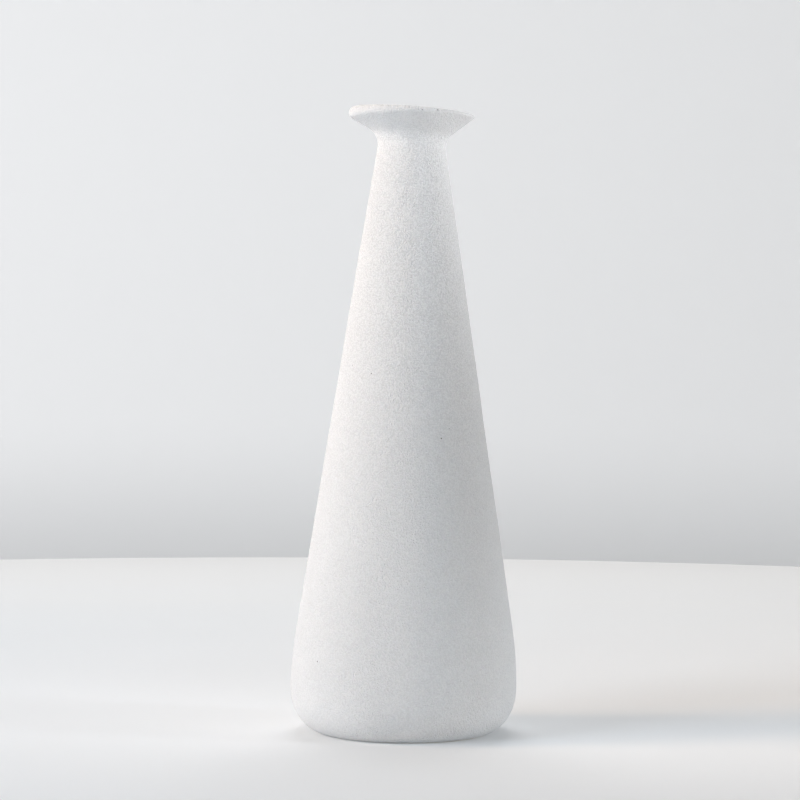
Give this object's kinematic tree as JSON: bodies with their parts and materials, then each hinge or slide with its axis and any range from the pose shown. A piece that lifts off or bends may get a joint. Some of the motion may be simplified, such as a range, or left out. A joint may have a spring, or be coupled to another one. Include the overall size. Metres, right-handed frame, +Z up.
{
  "type": "ceramic bud vase",
  "caption": "Tall tapering bud vase with a flared, slightly tilted lip, a matte sand-textured white coat outside and a glazed liner inside.",
  "frame": {"origin": "centre of the foot, on the surface that the vase stands on", "axes": "+Z up through the mouth, +X towards the low thin side of the lip, +Y to the back"},
  "size_m": [0.0722, 0.0722, 0.2],
  "materials": {
    "bare_clay": "bare fired stoneware, fine grog, dry to the touch, seen only at the foot",
    "sand_coat": "matte off-white coat with a fine sandy grain and a few pinholes",
    "liner_glaze": "thin glossy off-white liner glaze inside the throat and body"
  },
  "bodies": {
    "root": {"clay_body": "bare_clay", "sand_coat": "sand_coat", "liner_glaze": "liner_glaze"}
  },
  "joints": []
}
